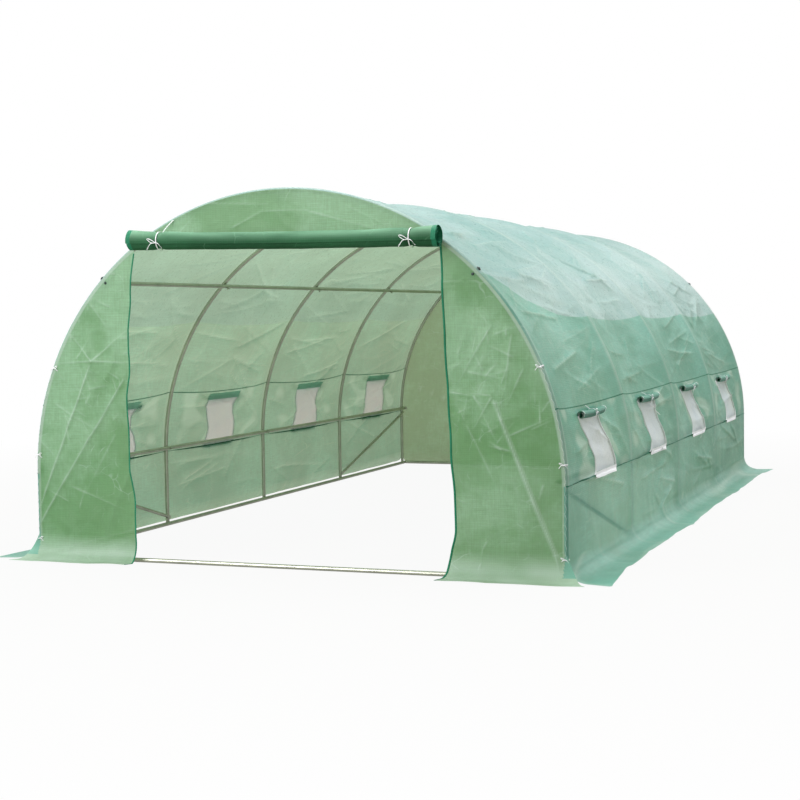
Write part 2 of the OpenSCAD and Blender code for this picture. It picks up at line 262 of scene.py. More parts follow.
def weave_group():
    """The sheet's reinforcing net, its crinkle and its pale lines: creases, partly
    stress whitening and partly a painted highlight, and painted highlights.
    """
    group = bpy.data.node_groups.new("woven_net", "ShaderNodeTree")
    pitch = group.interface.new_socket(
        "Pitch", in_out="INPUT", socket_type="NodeSocketFloat")
    pitch.default_value = 0.010
    stretch = group.interface.new_socket(
        "Stretch", in_out="INPUT", socket_type="NodeSocketFloat")
    stretch.default_value = 1.0
    for name in ("Net", "Slub", "Height", "Crease_and_highlight"):
        group.interface.new_socket(
            name, in_out="OUTPUT", socket_type="NodeSocketFloat")
    taken = group.nodes.new("NodeGroupInput")
    given = group.nodes.new("NodeGroupOutput")
    cloth = add_node(group, "ShaderNodeUVMap", uv_map="weave").outputs["UV"]
    turns = maths(group, "DIVIDE", 2 * math.pi, taken.outputs["Pitch"])
    lines = []
    sides = add_node(group, "ShaderNodeSeparateXYZ", {"Vector": cloth})
    for axis in ("X", "Y"):
        phase = maths(group, "MULTIPLY", sides.outputs[axis], turns)
        wave = maths(group, "COSINE", phase)
        lines.append(scaled(group, wave, 0.0, 1.0, 0.55, 1.0))
    net = maths(group, "MAXIMUM", *lines)
    slubs = []
    for scale in ((130.0, 9.0, 1.0), (9.0, 130.0, 1.0)):
        drawn = add_node(group, "ShaderNodeMapping", {
            "Vector": cloth, "Scale": scale})
        slubs.append(add_node(group, "ShaderNodeTexNoise", {
            "Vector": drawn.outputs["Vector"], "Scale": 1.0,
            "Detail": 2.0}).outputs["Fac"])
    slub = scaled(group, maths(group, "ADD", *slubs), 0.0, 1.0, 0.72, 1.28)
    wide = add_node(group, "ShaderNodeCombineXYZ", {
        "X": taken.outputs["Stretch"], "Y": 1.0, "Z": 1.0})
    cloth = add_node(group, "ShaderNodeVectorMath", {
        0: cloth, 1: wide.outputs[0]}, operation="MULTIPLY").outputs[0]
    crinkle = add_node(group, "ShaderNodeTexNoise", {
        "Vector": cloth, "Scale": 26.0, "Detail": 4.0, "Roughness": 0.62,
        "Distortion": 0.6})
    bent = add_node(group, "ShaderNodeTexNoise", {
        "Vector": cloth, "Scale": 5.0, "Detail": 2.0})
    bent = mixed(group, 0.10, cloth, bent.outputs["Color"])
    cells = add_node(group, "ShaderNodeTexVoronoi", {
        "Vector": bent, "Scale": 11.0}, feature="DISTANCE_TO_EDGE")
    folds = scaled(group, cells.outputs["Distance"], 1.0, 0.0, 0.0, 0.035)
    for size, least, most in ((2.3, 0.45, 0.70), (10.0, 0.50, 0.62)):
        where = add_node(group, "ShaderNodeTexNoise", {
            "Vector": cloth, "Scale": size, "Detail": 2.0})
        folds = maths(group, "MULTIPLY", folds, scaled(
            group, where.outputs["Fac"], 0.0, 0.8, least, most))
    height = maths(group, "MULTIPLY_ADD", crinkle.outputs["Fac"], 2.6, net)
    height = maths(group, "MULTIPLY_ADD", cells.outputs["Distance"], 6.0,
                   height)
    # Pale marks: creases, partly stress whitening and partly a painted highlight,
    # and the painted highlights and painted light laid on each piece's vertices.
    marked = add_node(group, "ShaderNodeAttribute", attribute_name="crease_and_highlight")
    crease_and_highlight = maths(group, "ADD", marked.outputs["Fac"], folds, clamp=True)
    for name, value in (("Net", net), ("Slub", slub), ("Height", height),
                        ("Crease_and_highlight", crease_and_highlight)):
        group.links.new(value, given.inputs[name])
    return group


woven_net = weave_group()


def sheet_material(name, face, shade, glow, clear=0.06, rough=0.36,
                   film=0.25, stretch=1.0, painted_height_shading=0.0, grain=1.0,
                   pale=(0.66, 0.84, 0.74, 1)):
    """Woven sheet: face and shade where light falls on it, glow through it.

    Its pale marks are partly painted highlight, and a height gradient can paint
    it lighter towards the top and darker towards the foot, as painted light
    and shade.
    """
    material, tree, skin, out = start_material(name)
    weave = add_node(tree, "ShaderNodeGroup", {
        "Pitch": 0.010, "Stretch": stretch}, node_tree=woven_net)
    patchy = add_node(tree, "ShaderNodeGroup", {"Size": 1.6},
                      node_tree=blotches)
    tone = scaled(tree, patchy.outputs["Blotch"], 0.0, 1.0, 0.30, 0.70)
    # Painted light and shade: by height, the sheet is painted lighter towards the
    # top and darker towards the foot.
    if painted_height_shading:
        place = add_node(tree, "ShaderNodeTexCoord").outputs["Object"]
        high = add_node(tree, "ShaderNodeSeparateXYZ", {"Vector": place})
        high = scaled(tree, high.outputs["Z"], -0.5 * painted_height_shading, 0.5 * painted_height_shading,
                      0.2, 1.9)
        tone = maths(tree, "ADD", tone, high, clamp=True)
    colour = mixed(tree, tone, shade, face)
    deep = tuple(0.62 * part for part in shade[:3]) + (1,)
    colour = mixed(tree, scaled(tree, weave.outputs["Slub"], 0.26 * grain, 0.0),
                   colour, deep)
    colour = mixed(tree, scaled(tree, patchy.outputs["Mottle"], 0.21 * grain,
                                0.0), colour, deep)
    colour = mixed(tree, scaled(tree, weave.outputs["Net"], 0.0, 0.035),
                   colour, pale)
    # Pale marks: creases, partly stress whitening and partly a painted highlight,
    # and painted highlights and painted light on some pieces.
    colour = mixed(tree, scaled(tree, weave.outputs["Crease_and_highlight"], 0.0, 0.72),
                   colour, pale)
    tree.links.new(colour, skin.inputs["Base Color"])
    tree.links.new(scaled(tree, patchy.outputs["Mottle"], rough - 0.08,
                          rough + 0.10), skin.inputs["Roughness"])
    skin.inputs["IOR"].default_value = 1.38
    skin.inputs["Coat Weight"].default_value = film
    skin.inputs["Coat Roughness"].default_value = 0.20
    raise_surface(tree, skin, weave.outputs["Height"], 0.45, 0.0016)
    dim = (0.90 * glow[0], 0.76 * glow[1], 0.74 * glow[2], 1)
    passed = mixed(tree, patchy.outputs["Blotch"], dim, glow)
    passed = mixed(tree, scaled(tree, weave.outputs["Slub"], 0.8, 0.0),
                   passed, dim)
    # More light passes at the pale marks, partly a painted highlight.
    passed = mixed(tree, scaled(tree, weave.outputs["Crease_and_highlight"], 0.0, 0.30),
                   passed, (0.62, 0.76, 0.60, 1))
    lit = add_node(tree, "ShaderNodeBsdfTranslucent", {"Color": passed})
    body = add_node(tree, "ShaderNodeMixShader", {
        0: 0.42, 1: skin.outputs[0], 2: lit.outputs[0]})
    gaps = add_node(tree, "ShaderNodeBsdfTransparent",
                    {"Color": (0.80, 0.95, 0.85, 1)})
    through = scaled(tree, weave.outputs["Net"], clear, clear * 0.3)
    whole = add_node(tree, "ShaderNodeMixShader", {
        0: through, 1: body.outputs[0], 2: gaps.outputs[0]})
    tree.links.new(whole.outputs[0], out.inputs["Surface"])
    return material


green_sheet = sheet_material(
    "woven_green_sheet", (0.195, 0.640, 0.545, 1), (0.070, 0.455, 0.350, 1),
    (0.40, 0.57, 0.37, 1), clear=0.07, film=0.12, stretch=0.4,
    grain=1.6)
# Painted reflection: the roof's sheet has paler, bluer tones than the walls' same
# sheet, standing in for the sky it reflects.
roof_painted_reflection = sheet_material(
    "roof_sheet_painted_reflection", (0.490, 0.740, 0.750, 1), (0.310, 0.620, 0.610, 1),
    (0.33, 0.49, 0.34, 1), rough=0.32, film=0.25, stretch=0.4)
arch_l = math.pi * cover_r
window_seam = 0.400
eaves_seam = 0.910
sag_stops = ((-0.50, 0.000), (-0.25, 0.008), (0.025, 0.018), (0.20, 0.038),
             (0.45, 0.056), (0.70, 0.054), (0.95, 0.040), (arch_l / 4, 0.019),
             (arch_l * 3 / 8, 0.036), (arch_l / 2, 0.019))
rail_ts = [angle * cover_r for angle in crossing_angles]


def between(at, stops):
    """The eased value at a place among (place, value) stops."""
    if at <= stops[0][0]:
        return stops[0][1]
    for (low, first), (high, second) in zip(stops, stops[1:]):
        if at <= high:
            part = (at - low) / (high - low)
            part = part * part * (3 - 2 * part)
            return first + (second - first) * part
    return stops[-1][1]


def bay_bow(y):
    """How far out in its bay y is: 0 on a hoop, 1 halfway to the next."""
    for near, far in zip(hoop_ys, hoop_ys[1:]):
        if near <= y <= far:
            return 1 - abs(2 * (y - near) / (far - near) - 1) ** 2.4
    return 0.0


def ridge(at, across, along, seed):
    """A thin wandering fold line, 1 on its line and 0 away from it; as a mark
    it is painted pale, partly a painted highlight.
    """
    wander = noise.noise((at[0] * across, at[1] * along, seed))
    return max(0.0, 1 - abs(wander) * 9) ** 1.5


def facets(a, b, seed):
    """Kinked folds of a handled sheet: height in metres and line mark."""
    height = mark = 0.0
    for turn in (0.35, 1.35, 2.30):
        along = a * math.cos(turn) + b * math.sin(turn)
        across = b * math.cos(turn) - a * math.sin(turn)
        wave = noise.noise((along * 1.5, across * 4.4, seed + turn * 9))
        some = max(0.0, noise.noise((a * 1.3, b * 1.2, seed - turn)) + 0.30)
        height += 0.017 * (0.22 - abs(wave)) * some
        mark = max(mark, max(0.0, 1 - abs(wave) * 20) * some)
    return height, mark


def boxed(pulls):
    """Creases (x1, z1, x2, z2, tall), each with the box that it reaches."""
    reach = 0.15
    return [(min(x1, x2) - reach, max(x1, x2) + reach,
             min(z1, z2) - reach, max(z1, z2) + reach, x1, z1, x2, z2, tall)
            for x1, z1, x2, z2, tall in pulls]


def pulls_at(x, z, pulls):
    """Height in metres and mark of the boxed creases at (x, z)."""
    height = mark = 0.0
    for low_x, high_x, low_z, high_z, x1, z1, x2, z2, tall in pulls:
        if not (low_x < x < high_x and low_z < z < high_z):
            continue
        run_x, run_z = x2 - x1, z2 - z1
        long = math.hypot(run_x, run_z)
        part = ((x - x1) * run_x + (z - z1) * run_z) / long ** 2
        part = min(max(part, 0.0), 1.0)
        gap = math.hypot(x - x1 - run_x * part, z - z1 - run_z * part)
        gap += 0.003 * noise.noise((x * 14, z * 14, x1 * 5))
        leans = (x - x1) * run_z - (z - z1) * run_x > 0
        fade = 1 - (0.75 if long < 0.5 else 0.30) * part
        fade *= 0.5 + 0.5 * min(part * 8, 1)
        height += tall * fade * (
            0.00090 * math.exp(-abs(gap) / (0.050 if leans else 0.016))
            + 0.00036 * math.exp(-abs(gap) / 0.006))
        mark += tall * 0.105 * math.exp(-(gap / 0.0042) ** 2) * fade
    return height, min(mark, 1.0)


def tension_folds(seed, count):
    """Straight folds that run out from the hoops, bay by bay."""
    draw = random.Random(seed)
    bays = []
    for near, far in zip(hoop_ys, hoop_ys[1:]):
        pulls = []
        for _ in range(count):
            start, way = draw.choice(((near + 0.04, 1), (far - 0.04, -1)))
            start += way * abs(draw.gauss(0, 0.30))
            t = draw.uniform(-0.30, arch_l + 0.30)
            pulls.append((t, start, t + draw.gauss(0, 0.14),
                          start + way * draw.uniform(0.18, 0.75),
                          draw.uniform(5.0, 15.0)))
        bays.append((near, far, boxed(pulls)))
    return bays


cover_folds = tension_folds(12, 80)


def slack(t, y):
    """How far the cover lies inside its taut line, and its pale mark: creases,
    partly a painted highlight, and a painted highlight over each hoop and
    where the cover wraps round the end hoops.
    """
    bow = bay_bow(y)
    loose = bow ** 0.55
    depth = bow * between(min(t, arch_l - t), sag_stops)
    depth += loose * 0.011 * noise.noise((t * 1.6, y * 1.1, 4.0))
    depth += loose * 0.0075 * noise.noise((t * 4.6, y * 1.7, 8.0))
    drag = ridge((t + 0.22 * y, y - 0.5 * t), 2.6, 0.7, 3.0)
    drag *= max(0.0, noise.noise((t * 1.1, y * 0.8, 21.0)) + 0.25)
    counter = ridge((t - 0.30 * y, y + 0.6 * t), 2.3, 0.8, 12.0)
    counter *= max(0.0, noise.noise((t * 0.9, y * 1.1, 33.0)) + 0.20)
    pack_t, pack_y = t / 0.47 + 0.3, y / 0.52 + 0.1
    fold_a = math.exp(-abs(pack_t % 1.0 - 0.5) * 26) * noise.noise(
        (math.floor(pack_t) * 5.3, y * 1.7, 2.0))
    fold_b = math.exp(-abs(pack_y % 1.0 - 0.5) * 28) * noise.noise(
        (math.floor(pack_y) * 4.1, t * 1.9, 6.0))
    kink, line = facets(t, 0.45 * y, 40.0)
    for near, far, pulls in cover_folds:
        if near <= y <= far:
            height, pull = pulls_at(t, y, pulls)
            break
    else:
        height = pull = 0.0
    depth -= loose * (0.0095 * drag + 0.0085 * counter + kink + height
                      + 0.0090 * fold_a + 0.0085 * fold_b)
    depth += loose * 0.0024 * noise.noise((t * 15, y * 6, 5.0))
    rail_gap, leg_gap, slope = 0.0225, 0.0135, 0.30
    for rail_t in rail_ts:
        depth = min(depth, rail_gap + slope * abs(t - rail_t))
    below = -min(t, arch_l - t)
    if below > 0:
        depth = min(depth, max(leg_gap, rail_gap - slope * below))
    mark = max(0.15 * drag, 0.15 * counter, 0.3 * line, 0.6 * pull,
               0.3 * abs(fold_a), 0.3 * abs(fold_b))
    # Painted highlight: the cover is painted paler over each hoop's tube, patchily,
    # and all over its wrap round the end hoops; weaker on the lower walls.
    hoop_highlight = max(math.exp(-((y - hoop_y) / 0.026) ** 2) for hoop_y in hoop_ys)
    if abs(y) > hoop_ys[-1]:
        hoop_highlight = 1.0
    hoop_highlight *= 0.62 + 0.5 * noise.noise((t * 2.6, y * 3.0, 14.0))
    if t < 0 or t > arch_l:
        hoop_highlight *= 0.4
    return depth, max(loose * mark, hoop_highlight)


def cover_place(t, y, lift=0.0):
    """A place on the cover: t runs round the arch from the right seam up."""
    depth, mark = slack(t, y)
    bow = bay_bow(y)
    out = lift - depth
    past = max(hoop_ys[0] - y, y - hoop_ys[-1], 0.0)
    if past:
        end = hoop_ys[0] if y < 0 else hoop_ys[-1]
        wrap = past / wrap_r
        y = end + math.copysign((wrap_r + lift) * math.sin(wrap), y)
        out -= wrap_r * (1 - math.cos(wrap))
    turn = min(max(t / cover_r, 0.0), math.pi)
    if 0 < t < arch_l:
        turn -= 0.011 * bow * math.cos(turn) / cover_r
    radius = cover_r + out
    height = spring_z + min(t, 0.0) + min(arch_l - t, 0.0)
    return Vector((radius * math.cos(turn), y,
                   height + radius * math.sin(turn))), mark


def side_place(t, y, side, lift=0.0):
    """A place on one side of the cover: t runs up from that side's seam."""
    return cover_place(t if side > 0 else arch_l - t, y, lift)


def marks(stops, pitch):
    """Lines about pitch apart from stop to stop, with one on every stop."""
    lines = [stops[0]]
    for low, high in zip(stops, stops[1:]):
        count = max(1, round((high - low) / pitch))
        lines += [low + (high - low) * step / count
                  for step in range(1, count + 1)]
    return lines


def laid_sheet(us, vs, lay, cut=None, flip=False):
    """A cloth net of lines us by vs, with holes, laid by lay(u, v).

    lay gives each crossing's place, its spot on the flat cloth in metres and
    its pale mark: creases, partly stress whitening and partly a painted
    highlight, and the painted highlights and painted light laid on some
    pieces; flip turns the faces round.
    """
    bm = bmesh.new()
    bmesh.ops.create_grid(bm, x_segments=len(us) - 1, y_segments=len(vs) - 1,
                          size=1.0)
    for vert in bm.verts:
        vert.co = (us[round((vert.co.x + 1) / 2 * (len(us) - 1))],
                   vs[round((vert.co.y + 1) / 2 * (len(vs) - 1))], 0)
    if cut:
        holes = [face for face in bm.faces
                 if cut(*face.calc_center_median().xy)]
        bmesh.ops.delete(bm, geom=holes, context="FACES")
    weave = bm.loops.layers.uv.new("weave")
    crease_and_highlight = bm.verts.layers.float.new("crease_and_highlight")
    spots = {}
    for vert in bm.verts:
        vert.co, spots[vert], vert[crease_and_highlight] = lay(vert.co.x, vert.co.y)
    for face in bm.faces:
        for corner in face.loops:
            corner[weave].uv = spots[corner.vert]
    if flip:
        bmesh.ops.reverse_faces(bm, faces=bm.faces[:])
    return bm


wrap_l = wrap_r * math.radians(80)
cover_ys = marks([hoop_ys[0] - wrap_l, hoop_ys[0]], 0.004)[:-1]
cover_ys += marks(hoop_ys, 0.0238)
cover_ys += marks([hoop_ys[-1], hoop_ys[-1] + wrap_l], 0.004)[1:]
skirt_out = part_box("right_skirt")[1].x
wall_down = 0.380
bend_l = 0.165
skirt_l = 0.098
skirt_spread = 0.055
bend_gap, ground_gap = 0.004, 0.003


def wall_lay(side):
    """Lays a lower wall: straight down, round a soft bend, out on the ground."""
    def lay(y, down):
        place, mark = side_place(-min(down, wall_down), y, side)
        place.x = abs(place.x)
        past = max(down - wall_down, 0.0)
        if past:
            swing = noise.noise((y * 0.9, side * 3.0, 7.0))
            ripple = noise.noise((y * 1.5, side * 5.0, 1.0))
            bend_r = (spring_z - wall_down - bend_gap) * (1 + 0.05 * ripple)
            turn = min(past / bend_l, 1.0) * math.pi / 2
            place.x += bend_r * (1 - math.cos(turn)) * (1 + 0.12 * swing)
            place.z = spring_z - wall_down - bend_r * math.sin(turn)
            flat = max(past - bend_l, 0.0)
            place.x += flat * (0.86 + 0.12 * swing)
            place.z += 0.010 * max(ripple, 0) * math.sin(turn) ** 2
            place.z += flat * 0.10 * max(
                noise.noise((y * 5.1, side * 2.0, 9.0)), 0)
            place.x += 0.004 * noise.noise((y * 2.2, down * 4.0, 2.0))
            place.z = max(place.z, ground_gap)
            mark += 0.5 * ridge((y, down), 0.8, 3.0, 5.0)
            near_end = max(0.0, 1 - (abs(hoop_ys[0]) + wrap_l - abs(y)) / 0.45)
            place.y += math.copysign(0.30 * past * near_end ** 2, y)
            place.x += 0.26 * max(past - 0.09, 0) * near_end
        place.x = min(place.x, skirt_out + skirt_spread)
        if side < 0:
            place.x = -place.x
            return place, (-y, down), mark
        return place, (y, -down), mark
    return lay


long_sides = ((1, "right"), (-1, "left"))
downs = marks([0.0, wall_down, wall_down + bend_l,
               wall_down + bend_l + skirt_l], 0.0095)
for side, name in long_sides:
    bm = laid_sheet(cover_ys, downs[::-1], wall_lay(side), flip=side < 0)
    wall = add_piece(name + "_wall_and_skirt", bm, "cover_sheet", green_sheet)
    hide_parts(name + "_lower_wall", name + "_skirt")


# Window strips: the band above the side rail on each long side, of the same
# sheet. Four windows are cut in it, and it meets the wall below edge to edge
# in a sewn seam.
window_w = 0.445
window_low = 0.022
window_high = 0.378
cut_high = 0.342
sway_end = 2.9
front_window_back = 0.085
bay_ys = [(near + far) / 2 for near, far in zip(hoop_ys, hoop_ys[1:])]
window_edges = sorted(mid + half for mid in bay_ys
                      for half in (-window_w / 2, window_w / 2))


def window_sway(t, y, side):
    """How far a window's edge strays along the cover from its straight line."""
    mid = min(bay_ys, key=lambda bay_y: abs(y - bay_y))
    near = max(0.0, 1 - ((y - mid) / 0.50) ** 2)
    up = (t - window_low) / (window_high - window_low)
    own = noise.noise((mid * 3.1, side * 2.0, 0.5))
    wave = (0.045 + 0.02 * own) * math.sin(2 * math.pi * (up * 0.95 + 0.05))
    lean = 0.17 if side > 0 else 0.01
    waist = 0.16 * (y - mid) * math.sin(math.pi * min(max(up, 0), 1))
    ease = max(0, min(1, up * 4 + 1)) * max(0, min(1, (1.35 - up) * 3))
    if side < 0 and mid == bay_ys[0]:
        lean, wave = 0.0, wave + front_window_back
    return near * (wave + lean * (0.80 - up) - waist) * ease


def side_lay(side):
    """Lays a band of the cover on one side."""
    def lay(y, t):
        sway = window_sway(t, y, side)
        puff = 0.0
        if t < window_seam and abs(y) < sway_end:
            puff = 0.010 * bay_bow(y) * noise.noise(
                (t * 11, y * 7, 60.0 + side))
            puff *= math.sin(math.pi * t / window_seam)
        place, mark = side_place(t, y + sway if abs(y) < sway_end else y,
                                 side, puff)
        if t < window_seam:
            # Painted highlight: pale patches on the window band, strongest mid-bay,
            # standing in for glare on the loose sheet.
            glint = noise.noise((t * 7 + y, y * 4.5, 51.0 + side)) * bay_bow(y)
            mark = max(mark, min(0.80, 4.4 * (glint - 0.04)))
        return place, (side * y, t), mark
    return lay


def in_window(y, t):
    """True where the flat strip is cut away for a window."""
    return (window_low < t < cut_high
            and any(abs(y - mid) < window_w / 2 for mid in bay_ys))


strip_ys = [y for y in cover_ys if y < hoop_ys[0]]
strip_ys += marks(sorted(hoop_ys + window_edges), 0.0200)
strip_ys += [y for y in cover_ys if y > hoop_ys[-1]]
strip_ts = marks([0.0, window_low, cut_high, window_seam], 0.0095)
for side, name in long_sides:
    bm = laid_sheet(strip_ys, strip_ts, side_lay(side), in_window, side < 0)
    strip = add_piece(name + "_window_band", bm, "cover_sheet", green_sheet)
    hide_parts(name + "_window_strip")


# Eaves strips and roof: the upper cover, pulled over the hoops in three bands
# sewn edge to edge, each a little slack between the hoops. Their ends wrap
# round the end hoops' tubes, and the roof is painted paler and bluer, a
# painted reflection of the sky.
def seam_at(y, side):
    """Where the roof's seam runs; on the right it climbs in the front bay."""
    if side < 0:
        return eaves_seam
    climb = max(0.0, (hoop_ys[1] - y) / (hoop_ys[1] - hoop_ys[0]))
    return eaves_seam + 0.30 * min(climb, 1.0) ** 1.6


def eaves_lay(side):
    """Lays an eaves strip from the window seam up to the roof's seam."""
    lay_band = side_lay(side)

    def lay(y, t):
        part = max(0.0, (t - window_seam) / (eaves_seam - window_seam))
        return lay_band(y, t + part * (seam_at(y, side) - eaves_seam))
    return lay


def roof_lay(y, t):
    """Lays the roof from seam to seam."""
    right, left = seam_at(y, 1), arch_l - seam_at(y, -1)
    part = (t - eaves_seam) / (arch_l - 2 * eaves_seam)
    place, mark = cover_place(right + (left - right) * part, y)
    return place, (y, t), mark


eaves_ts = marks([window_seam, eaves_seam], 0.0095)
for side, name in long_sides:
    bm = laid_sheet(cover_ys, eaves_ts, eaves_lay(side), flip=side < 0)
    eaves = add_piece(name + "_eaves_band", bm, "cover_sheet", green_sheet)
    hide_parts(name + "_eaves_strip")
roof_ts = marks([eaves_seam, arch_l / 4, arch_l / 2, arch_l * 3 / 4,
                 arch_l - eaves_seam], 0.0105)
bm = laid_sheet(cover_ys, roof_ts, roof_lay)
roof = add_piece("roof_sheet", bm, "cover_sheet", roof_painted_reflection)
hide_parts("left_roof_cover", "right_roof_cover")


# Seam tapes: narrow dark green tape sewn over the two seams that carry the
# windows, seen as thin dark lines inside and outside.
tape_green, tree, skin, _ = start_material("dark_green_tape")
patchy = add_node(tree, "ShaderNodeGroup", {"Size": 9.0}, node_tree=blotches)
ribs = add_node(tree, "ShaderNodeGroup", {"Pitch": 0.0024},
                node_tree=woven_net)
dark = mixed(tree, patchy.outputs["Blotch"], (0.008, 0.160, 0.075, 1),
             (0.014, 0.215, 0.108, 1))
dark = mixed(tree, scaled(tree, ribs.outputs["Net"], 0.0, 0.35), dark,
             (0.030, 0.27, 0.15, 1))
tree.links.new(dark, skin.inputs["Base Color"])
skin.inputs["Specular IOR Level"].default_value = 0.25
tree.links.new(scaled(tree, patchy.outputs["Mottle"], 0.42, 0.60),
               skin.inputs["Roughness"])
raise_surface(tree, skin, ribs.outputs["Net"], 0.5, 0.0006)

binding = sheet_material(
    "seam_binding_tape", (0.050, 0.330, 0.210, 1), (0.028, 0.230, 0.135, 1),
    (0.06, 0.24, 0.14, 1), clear=0.0, rough=0.50, film=0.0)
for side, name in long_sides:
    for where, seam in (("upper", window_seam), ("lower", 0.0)):
        def tape_lay(y, across, seam=seam, side=side):
            """Lays a seam tape over the joint, outside and inside."""
            out = 0.0016 if across > 0 else -0.0014
            t = seam + abs(across) - (0.023 if across > 0 else 0.02125)
            sway = window_sway(t, y, side) if abs(y) < sway_end else 0.0
            place, _ = side_place(t, y + sway, side, out)
            return place, (side * y, across), 0.0

        bm = laid_sheet(cover_ys, [-0.0225, -0.0212, -0.020, 0.020, 0.0230,
                                   0.0260], tape_lay,
                        lambda y, across: abs(across) < 0.019, side < 0)
        tape = add_piece(name + "_" + where + "_seam_tape", bm, "zip_tape",
                         binding)


# Window screens: fine white insect mesh sewn behind each window opening, slack
# enough to belly a little, with white piping down its sides, a white hem band
# at its foot and a header band under the roll, painted pale green as painted
# light standing in for the lit roll seen through the sheet.
netting, tree, skin, out = start_material("white_netting")
threads = add_node(tree, "ShaderNodeGroup", {"Pitch": 0.0030},
                   node_tree=woven_net)
patchy = add_node(tree, "ShaderNodeGroup", {"Size": 4.0}, node_tree=blotches)
tree.links.new(mixed(tree, patchy.outputs["Blotch"], (0.79, 0.90, 1.0, 1),
                     (0.88, 0.97, 1.00, 1)), skin.inputs["Base Color"])
tree.links.new(scaled(tree, patchy.outputs["Mottle"], 0.55, 0.75),
               skin.inputs["Roughness"])
raise_surface(tree, skin, threads.outputs["Net"], 0.4, 0.0005)
lit = add_node(tree, "ShaderNodeBsdfTranslucent",
               {"Color": (0.97, 0.73, 0.68, 1)})
body = add_node(tree, "ShaderNodeMixShader", {
    0: 0.20, 1: skin.outputs[0], 2: lit.outputs[0]})
gaps = add_node(tree, "ShaderNodeBsdfTransparent")
whole = add_node(tree, "ShaderNodeMixShader", {
    0: scaled(tree, threads.outputs["Net"], 0.13, 0.02),
    1: body.outputs[0], 2: gaps.outputs[0]})
tree.links.new(whole.outputs[0], out.inputs["Surface"])

white_hem, tree, skin, _ = start_material("white_hem")
patchy = add_node(tree, "ShaderNodeGroup", {"Size": 12.0}, node_tree=blotches)
threads = add_node(tree, "ShaderNodeGroup", {"Pitch": 0.0020},
                   node_tree=woven_net)
white = mixed(tree, patchy.outputs["Blotch"], (0.84, 0.85, 0.87, 1),
              (0.92, 0.93, 0.94, 1))
tree.links.new(mixed(tree, scaled(tree, threads.outputs["Net"], 0.0, 0.3),
                     white, (0.76, 0.77, 0.80, 1)), skin.inputs["Base Color"])
tree.links.new(scaled(tree, patchy.outputs["Mottle"], 0.55, 0.72),
               skin.inputs["Roughness"])
raise_surface(tree, skin, threads.outputs["Net"], 0.5, 0.0005)

# Painted light: the header's tones are near-white teal, brighter than the shade
# under the roll gives, standing in for the lit roll seen through the sheet.
header_painted_light = sheet_material(
    "screen_header_painted_light", (0.520, 0.900, 0.830, 1), (0.450, 0.840, 0.750, 1),
    (0.36, 0.68, 0.58, 1), clear=0.0, rough=0.45, film=0.0)
sewing_edge = 0.012
screen_half = window_w / 2 + sewing_edge
screen_pitch = 0.0125
header_low, header_high = 0.337, 0.384
for side, name in long_sides:
    for number, mid in enumerate(bay_ys, 1):
        def screen_lay(y, t, mid=mid, side=side):
            """Lays a screen just inside its window, bellied a little."""
            up = (t - window_low) / (window_high - window_low)
            belly = max(0.0, 1 - (abs(y - mid) / screen_half) ** 3)
            belly *= max(0.0, math.sin(math.pi * min(max(up, 0), 1)))
            lift = -0.003 + 0.010 * belly * noise.noise(
                (t * 3 + mid, y * 3, 2.0))
            lift -= 0.004 * belly * abs(noise.noise((t * 9, y * 8, mid)))
            place, _ = side_place(t, y + window_sway(t, y, side), side, lift)
            return place, (side * y, t), 0.0

        def hem_lay(y, t, mid=mid, side=side):
            """Lays the white hem band, which hangs free at the screen's foot."""
            free = max(0.0, 0.050 - t) / 0.075
            wave = noise.noise((y * 9, mid, 1.0))
            flare = 0.0045 + free * (0.009 + 0.007 * wave)
            place, _ = side_place(t + 0.003 * wave,
                                  y + window_sway(t, y, side), side, flare)
            return place, (side * y, t), 0.0

        def piping_lay(stand, t, mid=mid, side=side):
            """Lays the round white piping along a screen's two edges."""
            edge = mid + math.copysign(window_w / 2 + 0.001, stand)
            turn = (abs(stand) - 0.02) / 0.010 * math.pi / 2
            sway = window_sway(t, edge, side)
            place, _ = side_place(t, edge + sway, side,
                                  0.0005 + 0.0065 * math.cos(turn))
            place.y += 0.0055 * math.sin(turn) * math.copysign(1, stand)
            return place, (stand, t), 0.0

        bm = laid_sheet(marks([mid - screen_half, mid + screen_half],
                              screen_pitch),
                        marks([window_low - sewing_edge, header_low,
                               header_high], 0.0120),
                        screen_lay, flip=side < 0)
        weave = bm.loops.layers.uv["weave"]
        for face in bm.faces:
            low, high = (face.loops[at][weave].uv.y for at in (0, 2))
            if low + high > 2 * header_low:
                face.material_index = 1
        hem = laid_sheet(marks([mid - window_w / 2 - 0.004,
                                mid + window_w / 2 + 0.004], screen_pitch),
                         marks([-0.020, 0.010, 0.024], 0.007), hem_lay,
                         flip=side < 0)
        piping = laid_sheet(marks([-0.030, -0.010, 0.010, 0.030], 0.0034),
                            marks([0.0, 0.345], screen_pitch), piping_lay,
                            lambda stand, t: abs(stand) < 0.0099, side < 0)
        screen = add_piece("%s_screen_%d" % (name, number), bm, "screen_mesh",
                           netting, header_painted_light)
        band = add_piece("%s_screen_hem_%d" % (name, number), hem, "tie_tape",
                         white_hem)
        edging = add_piece("%s_screen_piping_%d" % (name, number), piping,
                           "tie_tape", white_hem)
        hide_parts(name + "_window_screens")


# Window rolls: each window's outer flap, rolled up to the seam above it and
# tied once round the middle. Its ends are bound in white and show the spiral.
roll_sheet = sheet_material(
    "rolled_green_sheet", (0.100, 0.460, 0.330, 1), (0.055, 0.330, 0.220, 1),
    (0.10, 0.36, 0.24, 1), clear=0.0, rough=0.40, film=0.1,
    pale=(0.42, 0.76, 0.62, 1))


